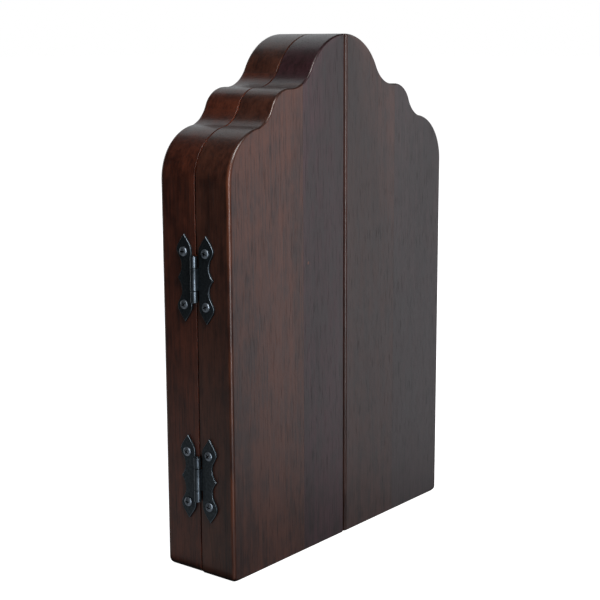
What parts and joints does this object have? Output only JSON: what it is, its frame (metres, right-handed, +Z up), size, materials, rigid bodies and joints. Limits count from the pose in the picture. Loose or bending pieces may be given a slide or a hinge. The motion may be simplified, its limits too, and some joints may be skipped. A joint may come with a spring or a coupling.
{
  "type": "triptych altarpiece",
  "caption": "Portable wooden triptych with a lobed top, shown closed: a thick back panel and wings that fold over its front on black iron strap hinges.",
  "frame": {"origin": "middle of the underside of the closed triptych, halfway across its width and its depth", "axes": "+Z up, -Y towards the front faces of the closed wings, +X to the right as seen from the front"},
  "size_m": [0.178, 0.0426, 0.25],
  "materials": {
    "stained_wood": "dark walnut stain under a satin varnish",
    "black_iron": "blackened, slightly glossy, with rubbed bright edges"
  },
  "bodies": {
    "panel": {"back_panel": "stained_wood", "left_lower_hinge_panel_leaf": "black_iron", "left_lower_hinge_panel_screw_bottom": "black_iron", "left_lower_hinge_panel_screw_top": "black_iron", "left_lower_hinge_pin": "black_iron", "left_upper_hinge_panel_leaf": "black_iron", "left_upper_hinge_panel_screw_bottom": "black_iron", "left_upper_hinge_panel_screw_top": "black_iron", "left_upper_hinge_pin": "black_iron", "right_lower_hinge_panel_leaf": "black_iron", "right_lower_hinge_panel_screw_bottom": "black_iron", "right_lower_hinge_panel_screw_top": "black_iron", "right_lower_hinge_pin": "black_iron", "right_upper_hinge_panel_leaf": "black_iron", "right_upper_hinge_panel_screw_bottom": "black_iron", "right_upper_hinge_panel_screw_top": "black_iron", "right_upper_hinge_pin": "black_iron"},
    "left_wing": {"left_wing": "stained_wood", "left_lower_hinge_wing_leaf": "black_iron", "left_lower_hinge_wing_screw_bottom": "black_iron", "left_lower_hinge_wing_screw_top": "black_iron", "left_upper_hinge_wing_leaf": "black_iron", "left_upper_hinge_wing_screw_bottom": "black_iron", "left_upper_hinge_wing_screw_top": "black_iron"},
    "right_wing": {"right_wing": "stained_wood", "right_lower_hinge_wing_leaf": "black_iron", "right_lower_hinge_wing_screw_bottom": "black_iron", "right_lower_hinge_wing_screw_top": "black_iron", "right_upper_hinge_wing_leaf": "black_iron", "right_upper_hinge_wing_screw_bottom": "black_iron", "right_upper_hinge_wing_screw_top": "black_iron"}
  },
  "joints": [
    {"name": "left_wing_hinge", "type": "hinge", "parent": "panel", "child": "left_wing", "pos_m": [-0.08735, -0.00115, 0], "axis": [0, 0, -1], "range_deg": [0, 165]},
    {"name": "right_wing_hinge", "type": "hinge", "parent": "panel", "child": "right_wing", "pos_m": [0.08735, -0.00115, 0], "axis": [0, 0, 1], "range_deg": [0, 165]}
  ]
}
